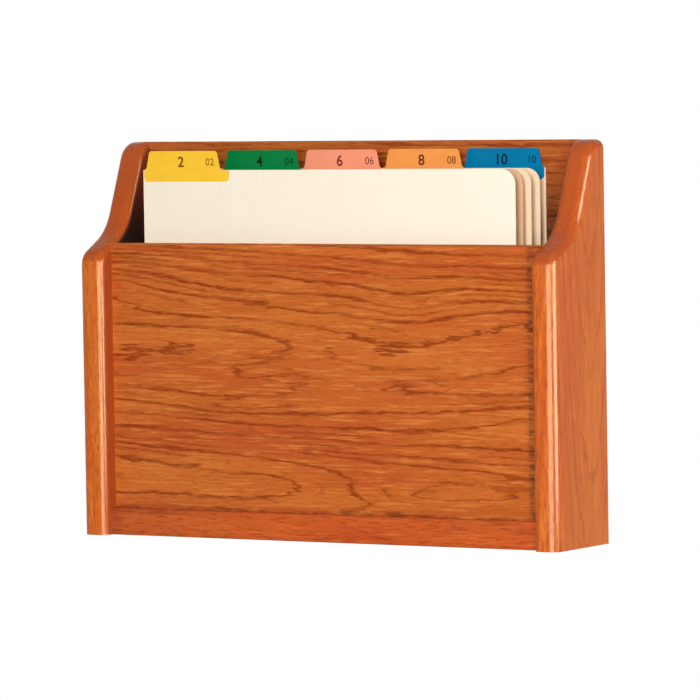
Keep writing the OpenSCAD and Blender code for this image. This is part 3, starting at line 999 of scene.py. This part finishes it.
def figures(name, text, size, weight, place, material):
    """Figures as a thin mesh, centred on a place of the film's front face."""
    curve = bpy.data.curves.new(name, "FONT")
    curve.body = text
    curve.size = size
    curve.offset = weight
    curve.extrude = INK_THICKNESS / 2
    curve.align_x = curve.align_y = "CENTER"
    curve.resolution_u = 6
    mesh = as_mesh(in_scene(name, curve))
    stand_up = Matrix.Rotation(pi / 2, 4, "X")
    lift = Vector((0, -INK_LIFT - INK_THICKNESS / 2, 0))
    mesh.transform(Matrix.Translation(place + lift) @ stand_up)
    mesh.materials.clear()
    mesh.materials.append(material)
    mesh.name = name
    return in_scene(name, mesh)


for i, ink in zip(GUIDES, inks):
    low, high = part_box(f"tab_film_{i}")
    middle = Vector((tab_middle(i), low[1], high[2] - FIGURES_BELOW_TOP))
    large = figures(f"tab_number_{i}", str(2 * i), BIG_FIGURE, BIG_WEIGHT,
                    middle + Vector((BIG_SHIFT, 0, 0)), ink)
    small = figures(f"tab_small_number_{i}", f"{2 * i:02}", SMALL_FIGURE, 0.0,
                    middle + Vector((SMALL_SHIFT, 0, 0)), ink)
    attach(large, f"guide_{i}")
    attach(small, f"guide_{i}")
    print("number", i, "faces:", len(large.data.polygons) + len(small.data.polygons))

# %% [markdown]
# The studio is white all round. A world that is only white to the camera and to reflections, and
# softer for the light it gives, keeps the background clean without washing out the wood. Less
# light would leave shaded faces black, and more would flatten the pocket.

# %% World
WORLD_LIGHT = 0.17


def make_world():
    """White to the camera, to reflections and through clear things; a soft fill otherwise."""
    world = bpy.data.worlds.new("white_studio")
    world.use_nodes = True
    tree = world.node_tree
    rays = add(tree, "ShaderNodeLightPath").outputs
    seen = calc(tree, "MAXIMUM", rays["Is Camera Ray"],
                calc(tree, "MAXIMUM", rays["Is Glossy Ray"], rays["Is Transmission Ray"]))
    white = add(tree, "ShaderNodeBackground", {"Color": WHITE, "Strength": 1.0})
    fill = add(tree, "ShaderNodeBackground", {"Color": WHITE, "Strength": WORLD_LIGHT})
    mixed = add(tree, "ShaderNodeMixShader", {0: seen, 1: fill.outputs[0], 2: white.outputs[0]})
    tree.links.new(mixed.outputs[0], tree.nodes["World Output"].inputs["Surface"])
    scene.world = world


make_world()
print("world light:", WORLD_LIGHT)

# %% [markdown]
# Three large soft lamps, in front, half right and at the right, shape the boards. Two more, at the
# left and behind, light the far sides for turned views. They could be set in watts, but the level
# that a lamp lends a facing surface is easier to balance, so the watts come from that. An azimuth
# of 0 is straight ahead and grows to the right.

# %% Lamps
HOLDER_MIDDLE = (cad_low + cad_high) / 2


def soft_lamp(name, azimuth, distance, height, width, tall, brightness, light=True, shine=True):
    """A rectangular lamp, aimed level at the holder, whose brightness a mirror would see."""
    data = bpy.data.lights.new(name, "AREA")
    data.shape = "RECTANGLE"
    data.size = width
    data.size_y = tall
    data.energy = brightness * pi * width * tall
    lamp = in_scene(name, data)
    away = Vector((sin(radians(azimuth)), -cos(radians(azimuth)), 0))
    lamp.location = Vector((HOLDER_MIDDLE.x, HOLDER_MIDDLE.y, height)) + away * distance
    lamp.rotation_euler = (-away).to_track_quat("-Z", "Y").to_euler()
    lamp.visible_diffuse = light
    lamp.visible_glossy = shine
    lamp.visible_camera = False
    return lamp


def lamp_light(name, azimuth, distance, height, width, tall, level):
    """A lamp that gives only light; its level is the share of white it lends a facing surface."""
    brightness = level * pi * distance ** 2 / (width * tall)
    lamp = soft_lamp(name, azimuth, distance, height, width, tall, brightness, shine=False)
    print(lamp.name, "in watts:", round(lamp.data.energy, 2))


lamp_light("key_lamp", azimuth=24, distance=1.90, height=0.32, width=0.5, tall=0.7, level=0.74)
lamp_light("fill_lamp", azimuth=50, distance=2.40, height=0.25, width=0.6, tall=0.7, level=0.24)
lamp_light("side_lamp", azimuth=92, distance=1.50, height=-0.15, width=0.6, tall=0.5, level=0.22)
lamp_light("back_lamp", azimuth=200, distance=2.00, height=0.05, width=0.6, tall=0.6, level=0.50)
lamp_light("left_lamp", azimuth=262, distance=1.90, height=0.20, width=0.6, tall=0.6, level=0.25)

# %% [markdown]
# The long highlights on the lacquer could come from the same lamps, but then their place would
# change the shading too. They come from two more lamps that give no light and are only seen as
# reflections. Those are cool, as window light is, so that the highlights look creamy on the orange
# wood. They would glare on the flat panels and cards, so light linking leaves those out.

# %% Highlights
SHINE_COLOUR = (0.68, 1.0, 1.02)

flat_pieces = bpy.data.collections.new("flat_pieces")
for piece in scene.objects:
    if piece.type == "MESH" and piece not in (nodes["left_side"], nodes["right_side"]):
        flat_pieces.objects.link(piece)
for piece in flat_pieces.collection_objects:
    piece.light_linking.link_state = "EXCLUDE"


def lamp_shine(name, **setting):
    """A lamp that is only seen as a highlight, and not on the flat pieces."""
    lamp = soft_lamp(name, light=False, **setting)
    lamp.data.color = SHINE_COLOUR
    lamp.light_linking.receiver_collection = flat_pieces


lamp_shine("front_shine", azimuth=23.9, distance=0.61, height=-0.15, width=0.52, tall=0.60,
           brightness=30.0)
lamp_shine("side_shine", azimuth=82, distance=0.98, height=0.06, width=0.56, tall=0.68,
           brightness=46.0)

# %% [markdown]
# The holder hangs on a wall, so the floor is well below it. A square floor would show its far edge
# against the white, so this one is a pale disc that fades out before the horizon. It takes the
# holder's shadow. From below it is clear, so that the underside shows too.

# %% Floor
FLOOR_DROP = 0.9
FLOOR_REACH = 3.0
FLOOR_SIDES = 64
FLOOR_GREY = (0.9, 0.9, 0.9, 1)
FADE_FROM, FADE_TO = FLOOR_REACH * 0.2, FLOOR_REACH * 0.8


def make_floor():
    """A round pale floor that fades out towards its edge."""
    bpy.ops.mesh.primitive_circle_add(vertices=FLOOR_SIDES, radius=FLOOR_REACH, fill_type="NGON",
                                      location=(0, 0, cad_low.z - FLOOR_DROP))
    floor = bpy.context.object
    floor.name = "floor"
    material, tree, shader = new_material("pale_floor", Roughness=0.8, Specular_IOR_Level=0.1,
                                          Base_Color=FLOOR_GREY)
    source = add(tree, "ShaderNodeTexCoord").outputs["Object"]
    distance = add(tree, "ShaderNodeVectorMath", {0: source}, operation="LENGTH").outputs["Value"]
    fade = between(tree, distance, FADE_FROM, FADE_TO, 1.0, 0.0)
    below = add(tree, "ShaderNodeNewGeometry").outputs["Backfacing"]
    from_above = calc(tree, "SUBTRACT", 1.0, below)
    tree.links.new(times(tree, fade, from_above), shader.inputs["Alpha"])
    floor.data.materials.append(material)


make_floor()
print("floor at height in m:", round(cad_low.z - FLOOR_DROP, 2))

# %% [markdown]
# The standard view transform shows each colour as it is written.

# %% Colour management
scene.view_settings.view_transform = "Standard"
